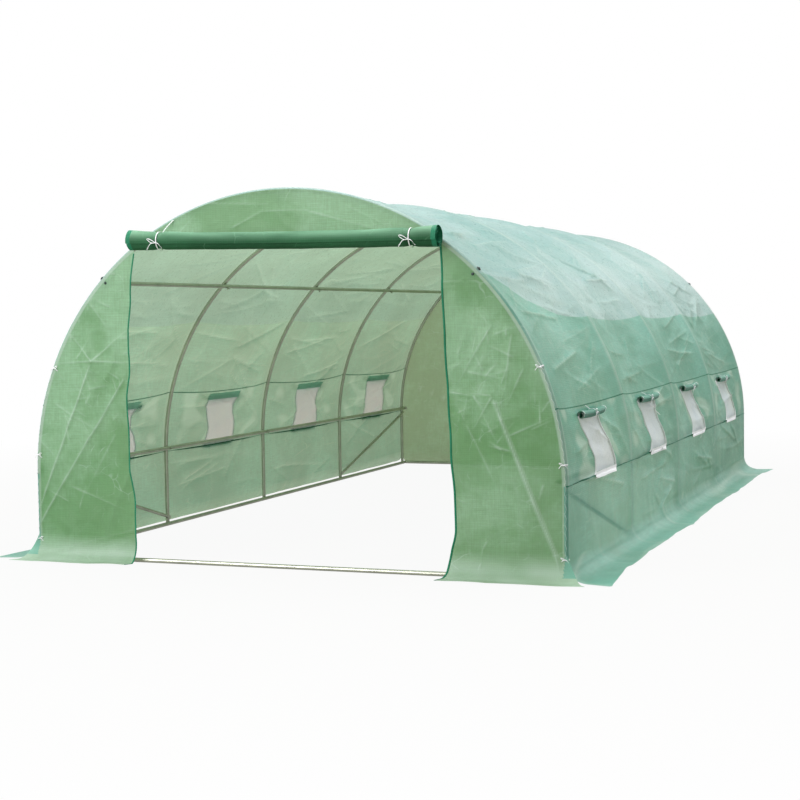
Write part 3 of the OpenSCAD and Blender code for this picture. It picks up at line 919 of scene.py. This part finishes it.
def rolled(half_l, outer_r, step, place_roll, seed, top_highlight):
    """A sheet rolled on itself; place_roll puts (along, out, up) in place."""
    def lay(along, turn):
        swell = 1 + 0.05 * noise.noise((along * 7, turn * 0.6, seed))
        swell += 0.035 * noise.noise((along * 2.2, seed, turn * 0.2))
        radius = (outer_r - step * turn / (2 * math.pi)) * swell
        end = 0.004 * noise.noise((turn * 0.9, seed, math.copysign(3, along)))
        along += end * abs(along / half_l) ** 6
        # Painted highlight: the upper side of the roll is painted paler.
        mark = top_highlight * max(0.0, math.sin(turn + 0.15)) ** 1.4
        mark *= 0.85 + 0.5 * noise.noise((along * 5, turn, seed))
        return (place_roll(along, radius * math.cos(turn),
                           radius * math.sin(turn)),
                (along, turn * outer_r * 0.8), mark)
    return lay


roll_t = 0.350
roll_r = 0.0240
roll_half = 0.248
roll_dip = 0.006
bound_l = 0.008
roll_turns = marks([0.0, 2 * math.pi * 2.6], math.pi / 11)
window_rolls = {}
for side, name in long_sides:
    for number, mid in enumerate(bay_ys, 1):
        seat, _ = side_place(roll_t, mid, side)
        seat.x = abs(seat.x)
        lean = roll_t / cover_r
        out_way = Vector((math.cos(lean), 0, math.sin(lean)))
        up_way = Vector((-math.sin(lean), 0, math.cos(lean)))
        axis = seat + out_way * (roll_r + 0.004)

        def put_roll(along, out, up, mid=mid, side=side, axis=axis):
            """Puts a roll's point on the axis that hangs at the seam."""
            dip = roll_dip * (1 - (along / roll_half) ** 2)
            place = axis + out_way * out + up_way * (up - dip)
            place.y = mid + along + (
                front_window_back if side < 0 and mid == bay_ys[0] else 0.0)
            place.x *= side
            return place

        # The roll's top is painted paler by rolled's last argument, a painted
        # highlight.
        bm = laid_sheet(marks([-roll_half, -roll_half + bound_l,
                               roll_half - bound_l, roll_half], 0.0125),
                        roll_turns,
                        rolled(roll_half, roll_r, 0.0058, put_roll,
                               number + side * 10.0, 0.45))
        for face in bm.faces:
            middle = face.calc_center_median().y - put_roll(0, 0, 0).y
            if abs(middle) > roll_half - bound_l - 0.0005:
                face.material_index = 1
        roll = add_piece("%s_window_roll_%d" % (name, number), bm,
                         "rolled_sheet", roll_sheet, white_hem)
        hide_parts(name + "_window_rolls")
        window_rolls[name, number] = axis


# Window tie tapes: narrow white tapes sewn in at the seam, brought round each
# roll and tied in a bow. Two on the right side also hang in long loose tails.
def smooth_path(points, steps=7):
    """A smooth run of points through the given ones."""
    run = []
    last = len(points) - 1
    for at in range(last):
        before, first = points[max(at - 1, 0)], points[at]
        second, after = points[at + 1], points[min(at + 2, last)]
        for step in range(steps):
            part = step / steps
            run.append(0.5 * (2 * first + (second - before) * part
                              + (2 * before - 5 * first + 4 * second - after)
                              * part ** 2
                              + (3 * first - before - 3 * second + after)
                              * part ** 3))
    run.append(points[last].copy())
    return run


def tape_along(bm, points, across, width):
    """Adds a flat tape along points; across is its width's way, per point."""
    run = smooth_path(points)
    strip = bmesh.ops.create_grid(bm, x_segments=len(run) - 1, y_segments=2,
                                  size=1.0)["verts"]
    if not isinstance(across, (list, tuple)):
        across = [across]
    for vert in strip:
        at = round((vert.co.x + 1) / 2 * (len(run) - 1))
        spread = at / (len(run) - 1) * (len(across) - 1)
        low = min(int(spread), max(len(across) - 2, 0))
        way = across[low].lerp(across[min(low + 1, len(across) - 1)],
                               spread - low).normalized()
        vert.co = run[at] + way * (vert.co.y * width / 2)


def finish_tape(bm, name, thick=0.0009):
    """Gives the tapes their thickness and makes them one piece."""
    weave = bm.loops.layers.uv.verify()
    for face in bm.faces:
        for corner in face.loops:
            corner[weave].uv = (corner.vert.co.z + corner.vert.co.x,
                                corner.vert.co.y)
    tape = add_piece(name, bm, "tie_tape", white_hem)
    tape.data.uv_layers[0].name = "weave"
    solid = tape.modifiers.new("tape thickness", "SOLIDIFY")
    solid.thickness = thick
    solid.offset = 0
    return tape


def tape_ring(middle, first, second, radius, start, step, count=13):
    """Points round a tube or roll, turned from first to second in degrees."""
    turns = [math.radians(start + step * at) for at in range(count)]
    return [middle + first * (radius * math.cos(turn))
            + second * (radius * math.sin(turn)) for turn in turns]


def tie_bow(bm, knot, front, down, along, size, width):
    """Adds a slip bow: a loop to one side, two tails and the knot."""
    tip = knot - along * size - down * (size * 0.42)
    loop = [knot, knot.lerp(tip, 0.55) + front * size * 0.28
            - down * size * 0.16, tip + front * size * 0.16,
            knot.lerp(tip, 0.50) + down * size * 0.20
            + front * size * 0.06, knot + front * 0.001]
    tape_along(bm, loop, [front.lerp(down, 0.3), down, front, down,
                          front.lerp(down, 0.3)], width)
    for side, reach, drop in ((-1, 1.05, 0.72), (1, 0.80, 0.62)):
        tail = [knot + front * 0.002,
                knot + along * (side * size * reach * 0.5)
                + down * size * drop * 0.15 + front * size * 0.22,
                knot + along * (side * size * reach)
                + down * size * drop + front * size * 0.05]
        tape_along(bm, tail, [down, down.lerp(front, 0.35),
                              along.lerp(down, 0.3)], width)
    ball = bmesh.ops.create_icosphere(bm, subdivisions=2, radius=width * 0.66)
    bmesh.ops.translate(bm, verts=ball["verts"], vec=knot + front * 0.002)


loose_tails = {(1, 2): (0.100, 0.280), (1, 3): (0.370, 0.0)}
bm = bmesh.new()
for side, name in long_sides:
    for number, mid in enumerate(bay_ys, 1):
        axis = window_rolls[name, number]
        flip = Vector((side, 1, 1))
        at_y = mid + 0.045 * math.sin(number * 2.3 + side)
        if side < 0 and number == 1:
            at_y += front_window_back
        ring_r = roll_r + 0.0030
        middle = axis - up_way * roll_dip
        middle.y = at_y
        ring = tape_ring(middle * flip, out_way * flip, up_way * flip, ring_r,
                         100, -30)
        top, _ = side_place(window_seam - 0.004, at_y, side, 0.004)
        tape_along(bm, [top] + ring, Vector((0, 1, 0)), 0.008)
        knot = middle + out_way * (ring_r + 0.001)
        tie_bow(bm, knot * flip, out_way * flip, Vector((0, 0, -1)),
                Vector((0, 1, 0)), 0.040, 0.0052)
        long, slant = loose_tails.get((side, number), (0.0, 0.0))
        if long:
            tail = [knot * flip]
            for part in (0.2, 0.4, 0.6, 0.8, 1.0):
                t, y = roll_t - 0.03 - long * part, at_y + slant * part
                y += window_sway(t, y, side) - window_sway(roll_t, y, side)
                tail.append(side_place(t, y, side, 0.012)[0])
            tape_along(bm, tail, Vector((0, 0, 1) if slant else (0, 1, 0)),
                       0.0055)
bmesh.ops.recalc_face_normals(bm, faces=bm.faces[:])
window_tapes = finish_tape(bm, "window_tie_tapes")
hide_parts("window_ties")


# Front wall: two panels beside the doorway and one above it, of the same sheet,
# laced to the end hoop. Their feet bend forward on the ground as skirts, and
# packing and handling have left star creases and long slanting pulls in them.
# Painted light and shade: the end walls are painted lighter towards the top and
# darker towards the foot, by the height gradient.
end_green = sheet_material(
    "end_wall_sheet", (0.370, 0.640, 0.420, 1), (0.145, 0.380, 0.160, 1),
    (0.46, 0.64, 0.37, 1), rough=0.42, film=0.12, painted_height_shading=0.6)
front_y = (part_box("front_top_panel")[0].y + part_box("front_top_panel")[1].y) / 2
front_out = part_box("front_skirts")[0].y
rim_r = hoop_r + 0.0035
edge_stops = {
    -1: ((0.0, -0.945), (0.05, -0.925), (0.16, -0.915), (0.30, -0.921),
         (0.58, -0.958), (0.92, -0.961), (1.09, -0.937), (1.31, -0.944),
         (1.50, -0.925), (1.80, -0.895)),
    1: ((0.0, 0.925), (0.09, 0.950), (0.25, 0.982), (0.41, 0.979),
        (0.67, 0.961), (0.93, 0.948), (1.24, 0.936), (1.50, 0.923),
        (1.80, 0.912))}
panel_pulls = {
    -1: ((-1.180, 1.139, -0.950, 1.312, 9), (-1.180, 1.139, -1.329, 1.295, 8),
         (-1.180, 1.139, -1.428, 1.123, 7), (-1.180, 1.139, -0.943, 1.127, 8),
         (-1.190, 1.110, -1.554, 0.300, 10), (-0.978, 1.031, -1.558, 0.203, 9),
         (-1.432, 0.893, -1.185, 0.758, 5), (-1.543, 0.679, -1.447, 0.600, 6),
         (-1.330, 0.420, -0.990, 0.300, 4), (-1.240, 1.520, -1.080, 1.330, 5),
         (-1.050, 0.720, -1.250, 0.380, 4)),
    1: ((1.198, 0.929, 1.548, 0.054, 11), (1.186, 1.314, 1.004, 1.021, 7),
        (1.293, 1.261, 1.257, 0.986, 7), (1.354, 1.088, 1.267, 0.909, 7),
        (1.187, 0.944, 1.082, 0.778, 6), (1.287, 0.750, 1.499, 0.844, 6),
        (1.050, 0.793, 1.192, 0.511, 6), (0.959, 0.969, 1.090, 0.949, 8),
        (1.090, 0.949, 1.148, 0.867, 8), (1.065, 1.073, 1.226, 1.042, 6),
        (1.453, 0.497, 1.431, 0.419, 5), (1.151, 0.198, 1.095, 0.097, 5),
        (1.140, 1.080, 1.085, 1.180, 5))}


def short_creases(seed, count, middle, spread):
    """Short random creases scattered round a middle spot."""
    draw = random.Random(seed)
    found = []
    for _ in range(count):
        x = draw.gauss(middle[0], spread[0])
        z = draw.gauss(middle[1], spread[1])
        turn = draw.uniform(0, math.pi)
        long = draw.uniform(0.04, 0.15)
        found.append((x, z, x + long * math.cos(turn),
                      z + long * math.sin(turn), draw.uniform(2.5, 6.5)))
    return tuple(found)


panel_pulls[-1] += short_creases(3, 34, (-1.20, 1.05), (0.17, 0.34))
panel_pulls[1] += short_creases(8, 46, (1.15, 1.00), (0.16, 0.26))


def rim_x(z):
    """Half width of the end wall at height z, to the middle of the hoop."""
    if z <= spring_z:
        return rim_r
    return math.sqrt(max(rim_r ** 2 - (z - spring_z) ** 2, 0.0))


panel_top_z = 1.762
foot_z = 0.150
foot_l = 0.165
front_skirt_l = 0.055
panel_l = panel_top_z - foot_z


def end_swell(x, z, to_rim, seed):
    """How far an end wall stands out of its plane, and its mark of pale fold
    lines, partly a painted highlight.
    """
    free = min(max(to_rim - 0.02, 0.0) / 0.14, 1.0)
    swell = 0.018 * noise.noise((x * 1.9, z * 1.5, seed)) + 0.006
    swell += 0.009 * noise.noise((x * 5.2 + z, z * 4.1 - x, seed + 3))
    drag = ridge((x + 0.4 * z, z - 0.6 * x), 2.6, 1.6, seed + 7)
    drag *= max(0.0, noise.noise((x * 1.4, z * 1.2, seed + 11)) + 0.2)
    kink, line = facets(x, z, seed + 17)
    swell += 0.010 * drag + kink
    swell += 0.0024 * noise.noise((x * 13, z * 12, seed))
    return free * swell, free * max(0.10 * drag, 0.20 * line)


def end_foot(down, x, seed):
    """The foot of an end wall: how far out and how high, past the bend."""
    ripple = noise.noise((x * 3.4, seed, 1.0))
    turn = min(down / foot_l, 1.0) * math.pi / 2
    bend_r = foot_z - bend_gap
    out = 0.62 * bend_r * (1 - math.cos(turn)) * (1 + 0.18 * ripple)
    high = foot_z - bend_r * math.sin(turn)
    flat = max(down - foot_l, 0.0)
    out += flat * (0.85 + 0.12 * noise.noise((x * 2.0, seed, 4.0)))
    high += (0.010 + flat * 0.10) * max(ripple, 0) * math.sin(turn) ** 2
    return out, max(high, ground_gap)


def panel_lay(side):
    """Lays a front side panel from its top point to its hem.

    On the right panel the first pull is a flat pale fold, partly a painted
    highlight.
    """
    creases = boxed(panel_pulls[side])
    x1, z1, x2, z2, _ = panel_pulls[side][0]

    def lay(part, down):
        z = max(panel_top_z - down, foot_z)
        past = max(down - panel_l, 0.0)
        inner = side * between(z if not past else foot_z * (
            1 - past / (foot_l + front_skirt_l)), edge_stops[side])
        outer = max(rim_x(z), inner + 0.0005)
        x = inner + (outer - inner) * part
        swell, mark = end_swell(x, z, outer - x, 5.0 + side)
        height, pull = pulls_at(side * x, z, creases)
        if side > 0 and z < z1 + 0.001:
            gap = abs((z1 - z2) * (x - x1) + (x2 - x1) * (z - z1))
            gap /= math.hypot(x2 - x1, z2 - z1)
            flat = max(0.0, min(1.0, (0.016 - gap) / 0.004))
            pull = max(pull, 0.36 * flat)
        out = swell + height * min((outer - x) / 0.05, 1.0)
        out += 0.020 * (1 - part) ** 3 * noise.noise((z * 2.2, side, 3.0))
        if past:
            far, z = end_foot(past, x, 2.0 + side)
            out = out * (1 - min(past / foot_l, 1.0)) + far
            x += (0.03 * (part - 0.5) + 0.085 * part ** 4) * past / foot_l
            # Painted light: the foot that bends out on the ground is painted paler,
            # patchily, as lit from above.
            painted_skirt_light = 0.62 + 0.40 * noise.noise((x * 7, past * 9, 4.0 + side))
            mark = max(mark, painted_skirt_light * min(past / foot_l * 2.2, 1.0))
        y = max(front_y - 0.001 - max(out, -0.004), front_out + 0.002)
        # Painted highlight: a pale band along the rim over the end hoop, weaker
        # below the spring line.
        edge = rim_r - math.hypot(x, max(z - spring_z, 0.0))
        rim = 0.9 * max(0.0, min(1.0, (0.019 - edge) / 0.005))
        return (Vector((side * x, y, z)), (side * x, -down),
                max(mark, pull, rim if z > spring_z else rim * 0.7))
    return lay


rows = marks([0.0, 0.10, panel_l, panel_l + foot_l,
              panel_l + foot_l + front_skirt_l], 0.0062)
columns = marks([0.0, 0.985, 1.0], 0.0100)
for side, name in long_sides:
    bm = laid_sheet(columns, rows[::-1], panel_lay(side), flip=side < 0)
    bmesh.ops.remove_doubles(bm, verts=bm.verts[:], dist=0.0002)
    for face in bm.faces:
        middle = face.calc_center_median()
        if abs(middle.x) > rim_r - 0.007 and 0.03 < middle.z < spring_z:
            face.material_index = 1
    panel = add_piece("front_%s_wall" % name, bm, "cover_sheet", end_green,
                      roll_sheet)
    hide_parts("front_%s_panel" % name, "front_skirts")

top_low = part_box("front_top_panel")[0].z - 0.004
top_creases = boxed((
    (-0.287, 1.859, -0.099, 1.945, 6), (0.155, 1.939, 0.533, 1.831, 6),
    (-0.099, 1.945, 0.155, 1.939, 4), (-0.461, 2.001, -0.068, 1.980, 5),
    (-0.62, 1.83, -0.52, 1.93, 4), (0.40, 1.95, 0.62, 1.84, 3)))


def top_lay(x, up):
    """Lays the panel over the doorway, up to the arch."""
    crown = spring_z + math.sqrt(rim_r ** 2 - x ** 2)
    z = top_low + (crown - top_low) * up
    swell, mark = end_swell(x, z, crown - z, 31.0)
    height, pull = pulls_at(x, z, top_creases)
    out = swell * 0.5 + height * min((crown - z) / 0.05, 1.0)
    return (Vector((x, front_y - 0.0012 - max(out, -0.003), z)), (x, z),
            max(mark, pull))


half_top = math.sqrt(rim_r ** 2 - (top_low - spring_z) ** 2) - 0.001
bm = laid_sheet(marks([-half_top, half_top], 0.0080), marks([0, 1], 0.028),
                top_lay)
top_panel = add_piece("front_top_wall", bm, "cover_sheet", end_green)
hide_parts("front_top_panel")


# Front lacing: a thin white thread that lashes the front panels' rims to the
# end hoop on both sides, and three small tied tapes round its tube.
stitches = 46
lace_top = 0.42
lash_r = 0.0172
bm = bmesh.new()
for side in (1, -1):
    stitch = []
    for step in range(stitches):
        way = step / (stitches - 1) * (lace_top + spring_z / rim_r)
        angle = lace_top - way
        reach = rim_r + (0.0030 if step % 2 else -0.0035)
        if angle > 0:
            place = Vector((reach * math.cos(angle), 0,
                            spring_z + reach * math.sin(angle)))
        else:
            place = Vector((reach, 0, spring_z + angle * rim_r + 0.02))
        place.x *= side
        place.y = front_y - (0.0030 if step % 2 else 0.0042)
        stitch.append(place)
    tape_along(bm, stitch, Vector((side * 0.6, 0, 0.8)), 0.0012)
    for angle, drop in ((0.400, 0.0), (0.070, 0.0), (0.0, 0.374)):
        middle = Vector((hoop_r * math.cos(angle), hoop_ys[0],
                         spring_z + hoop_r * math.sin(angle) - drop))
        out = Vector((math.cos(angle), 0, math.sin(angle)))
        middle.x *= side
        ring = tape_ring(middle, Vector((0, -1, 0)),
                         Vector((out.x * side, 0, out.z)), lash_r, 0, 30)
        tape_along(bm, ring, Vector((-out.z * side, 0, out.x)), 0.008)
        knot = ring[0] + Vector((0, -0.001, 0))
        tie_bow(bm, knot, Vector((0, -1, 0)), Vector((0, 0, -1)),
                Vector((side, 0, 0)), 0.024, 0.0040)
bmesh.ops.recalc_face_normals(bm, faces=bm.faces[:])
finish_tape(bm, "front_wall_lacing")


# Door zips: dark green zip tape sewn to both edges of the doorway and folded
# round the panel's free edge. The tape wavers as the edge does.
zip_fold_r = 0.0035
zip_thick = 0.0016
for side, name in long_sides:
    lay_panel = panel_lay(side)

    def zip_lay(across, down, side=side, lay_panel=lay_panel):
        """Lays the zip tape on the panel's free edge."""
        place, _, _ = lay_panel(0.0, down)
        turn = across / zip_fold_r
        if across < 0:
            place.x += side * across
            place.y -= zip_thick
        else:
            place.x += side * zip_fold_r * math.sin(turn)
            place.y -= zip_thick - zip_fold_r * (1 - math.cos(turn))
        return place, (across, -down), 0.0

    zip_rows = [row for row in rows if row > 0.02]
    bm = laid_sheet([-0.0060, -0.0030, 0.0, 0.0025, 0.0050], zip_rows[::-1],
                    zip_lay, flip=side < 0)
    zip_tape = add_piece("%s_zip_tape" % name, bm, "zip_tape", tape_green)
    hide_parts("%s_door_zip" % name)
    solid = zip_tape.modifiers.new("tape thickness", "SOLIDIFY")
    solid.thickness = zip_thick
    solid.offset = 1


# Door roll: the door sheet, rolled up to the top of the doorway. Its two zip
# edges make the dark green ends, and two white tapes from the rim, each tied
# in a bow, hold and pinch it.
door_low, door_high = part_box("door_roll")
door_half = door_high.x
door_mid_y = (door_low.y + door_high.y) / 2
door_mid_z = (door_low.z + door_high.z) / 2
door_r = (door_high.z - door_low.z) / 2
tie_xs = (-0.700, 0.775)
door_shift = 0.020
door_hem = 0.026
door_start = -0.3


def put_door(along, out, up):
    """Puts a point of the door's roll in place under the top panel."""
    pinch = 1 - 0.16 * max(math.exp(-((along + door_shift - x) / 0.024) ** 2)
                           for x in tie_xs)
    pinch *= 0.97 + 0.20 * abs(along / door_half) ** 5
    part = along / door_half
    dip = 0.010 * (1 - part ** 2) + 0.017 * part + 0.007
    return Vector((along + door_shift, door_mid_y - out * pinch,
                   door_mid_z + up * pinch - dip + 0.004))


# The last argument paints the roll's top paler, a painted highlight.
door_lay = rolled(door_half, door_r, 0.0085, put_door, 2.0, 1.00)
door_turns = marks([door_start, door_start + 2 * math.pi * 3.3], math.pi / 18)
door_cols = marks([-door_half, -door_half + door_hem, -0.6, 0.6,
                   door_half - door_hem, door_half], 0.0115)
bm = laid_sheet(door_cols, door_turns, door_lay)
for face in bm.faces:
    along = face.calc_center_median().x - door_shift
    if abs(along) > door_half - door_hem + 0.001:
        face.material_index = 1
# Painted shade: the door's sheet has much darker tones than the same sheet in the
# walls, standing in for the shade round the roll.
shaded_door_sheet = sheet_material(
    "door_sheet_painted_shade", (0.042, 0.215, 0.088, 1), (0.024, 0.155, 0.058, 1),
    (0.03, 0.12, 0.05, 1), clear=0.0, rough=0.60, film=0.0,
    pale=(0.40, 0.76, 0.50, 1))
door_roll = add_piece("rolled_door", bm, "rolled_sheet", shaded_door_sheet,
                      tape_green)
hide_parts("door_roll")

pinched_r = door_r * 0.93
bm = bmesh.new()
for x in tie_xs:
    centre = put_door(x - door_shift, 0, 0)
    ring = tape_ring(centre, Vector((0, -1, 0)), Vector((0, 0, 1)),
                     pinched_r + 0.002, 118, -27, 14)
    high_x = x + 0.055
    crown = spring_z + math.sqrt(rim_r ** 2 - high_x ** 2)
    start = Vector((high_x, front_y - 0.004, crown - 0.004))
    tape_along(bm, [start, start.lerp(ring[0], 0.55) + Vector((0, -0.006, 0))]
               + ring, Vector((1, 0, 0)), 0.0062)
    knot = centre + Vector((0, -(pinched_r + 0.004), -0.012))
    tie_bow(bm, knot, Vector((0, -1, 0)), Vector((0, 0, -1)),
            Vector((1, 0, 0)), 0.050, 0.0044)
bmesh.ops.recalc_face_normals(bm, faces=bm.faces[:])
door_tapes = finish_tape(bm, "door_tie_tapes")
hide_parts("door_ties")


# Rear wall: one plain closed piece of the end walls' sheet over the whole end,
# sewn to the cover's edge. Its foot bends out on the ground as a skirt.
rear_y = (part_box("rear_wall_cover")[0].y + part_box("rear_wall_cover")[1].y) / 2
rear_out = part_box("rear_skirt")[1].y
rear_creases = boxed((
    (-0.9, 1.5, -0.2, 1.1, 7), (0.8, 1.45, 0.35, 0.9, 7),
    (-1.4, 0.7, -0.7, 0.45, 6), (1.35, 0.9, 0.9, 0.25, 7),
    (0.1, 1.9, 0.25, 1.5, 5), (-0.3, 0.8, 0.2, 0.35, 5)))


def rear_lay(part, down):
    """Lays the rear wall from its crown to its hem."""
    crown = spring_z + rim_r
    z = max(crown - down, foot_z)
    past = max(down - (crown - foot_z), 0.0)
    x = rim_x(z) * part
    swell, mark = end_swell(x, z, rim_r - math.hypot(x, max(z - spring_z, 0)),
                            61.0)
    height, pull = pulls_at(x, z, rear_creases)
    out = swell * 0.7 + height * min((rim_x(z) - abs(x)) / 0.05, 1.0)
    if past:
        far, z = end_foot(past, x, 9.0)
        out = out * (1 - min(past / foot_l, 1.0)) + far
    y = min(rear_y + 0.001 + max(out, -0.003), rear_out - 0.002)
    return Vector((x, y, z)), (-x, -down), max(mark, pull)


arch_rows = 60
rear_rows = [rim_r * (1 - math.cos(step / arch_rows * math.pi / 2))
             for step in range(arch_rows + 1)]
rear_l = rim_r + spring_z - foot_z
rear_rows += marks([rim_r, rear_l, rear_l + foot_l,
                    rear_l + foot_l + front_skirt_l], 0.018)[1:]
bm = laid_sheet(marks([-1.0, 1.0], 0.0125), rear_rows[::-1], rear_lay,
                flip=True)
bmesh.ops.remove_doubles(bm, verts=bm.verts[:], dist=0.0002)
rear_wall = add_piece("rear_wall", bm, "cover_sheet", end_green)
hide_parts("rear_wall_cover", "rear_skirt")


# Studio: a plain floor and sky that show white, soft lamps overhead and round
# about, and a camera where the photograph was taken from. Near the object the
# mirrored floor is dimmer, as in the object's shadow.
floor_bm = bmesh.new()
bmesh.ops.create_grid(floor_bm, x_segments=1, y_segments=1, size=60.0)
bmesh.ops.translate(floor_bm, verts=floor_bm.verts[:], vec=(0, 0, -0.0005))
floor_mesh = bpy.data.meshes.new("studio_floor")
floor_bm.to_mesh(floor_mesh)
floor_bm.free()
floor = bpy.data.objects.new("studio_floor", floor_mesh)
scene.collection.objects.link(floor)
pale, tree, skin, out = start_material("pale_floor")
skin.inputs["Base Color"].default_value = (0.26, 0.27, 0.22, 1)
skin.inputs["Roughness"].default_value = 0.8
skin.inputs["Specular IOR Level"].default_value = 0.1
glow = add_node(tree, "ShaderNodeEmission", {"Color": (1, 1, 1, 1)})


def ray_mask(tree, *kinds):
    """1 for a ray of one of these kinds, 0 for the rest."""
    rays = add_node(tree, "ShaderNodeLightPath")
    mask = rays.outputs[kinds[0]]
    for kind in kinds[1:]:
        mask = maths(tree, "MAXIMUM", mask, rays.outputs[kind])
    return mask


reach = add_node(tree, "ShaderNodeVectorMath", {
    0: add_node(tree, "ShaderNodeTexCoord").outputs["Object"]},
    operation="LENGTH").outputs["Value"]
near, far = 3.0, 8.0
direct = maths(tree, "MULTIPLY", ray_mask(tree, "Is Camera Ray"),
               scaled(tree, reach, 0.94, 1.0, near, far))
mirrored = maths(tree, "MULTIPLY",
                 ray_mask(tree, "Is Glossy Ray", "Is Transmission Ray"),
                 scaled(tree, reach, 0.40, 1.0, near, far))
blend = add_node(tree, "ShaderNodeMixShader", {
    0: maths(tree, "MAXIMUM", direct, mirrored),
    1: skin.outputs[0], 2: glow.outputs[0]})
tree.links.new(blend.outputs[0], out.inputs["Surface"])
floor_mesh.materials.append(pale)

world = bpy.data.worlds.new("open_sky")
scene.world = world
world.use_nodes = True
tree = world.node_tree
sky = tree.nodes["Background"]
sky.inputs["Color"].default_value = (1, 1, 1, 1)
clear = ray_mask(tree, "Is Camera Ray", "Is Glossy Ray", "Is Transmission Ray")
tree.links.new(scaled(tree, clear, 0.60, 1.0), sky.inputs["Strength"])

for name, place, size, power in (
        ("sky_panel", (0.6, -0.6, 9.0), (7.0, 9.0), 980.0),
        ("front_key", (-6.5, -9.5, 7.0), (4.0, 4.0), 500.0),
        ("door_fill", (-2.6, -9.5, 2.8), (2.5, 2.5), 185.0),
        ("rear_glare", (4.5, 12.5, 5.5), (11.0, 4.0), 150.0),
        ("left_glow", (-9.5, 0.5, 1.8), (9.0, 2.5), 110.0)):
    lamp = bpy.data.lights.new(name, "AREA")
    lamp.shape = "RECTANGLE"
    lamp.size, lamp.size_y = size
    lamp.energy = power
    lamp_at = bpy.data.objects.new(name, lamp)
    lamp_at.location = place
    aim = Vector((0, -0.6, 0.8)) - lamp_at.location
    lamp_at.rotation_euler = aim.to_track_quat("-Z", "Y").to_euler()
    lamp_at.visible_camera = False
    scene.collection.objects.link(lamp_at)

camera = bpy.data.cameras.new("photo_camera")
camera.sensor_width = 36.0
camera.lens = 70.76
camera_spot = (3.614, -10.667, 1.367)
azimuth, elevation, roll = (math.radians(angle)
                            for angle in (20.869, 3.058, -0.870))
back = Vector((math.sin(azimuth) * math.cos(elevation),
               -math.cos(azimuth) * math.cos(elevation),
               math.sin(elevation)))
right = (-back).cross(Vector((0, 0, 1))).normalized()
up = right.cross(-back)
view_right = right * math.cos(roll) + up * math.sin(roll)
view_up = up * math.cos(roll) - right * math.sin(roll)
camera_at = bpy.data.objects.new("photo_camera", camera)
camera_at.matrix_world = Matrix.Translation(camera_spot) @ Matrix(
    (view_right, view_up, back)).transposed().to_4x4()
scene.collection.objects.link(camera_at)
scene.camera = camera_at
scene.view_settings.view_transform = "Standard"
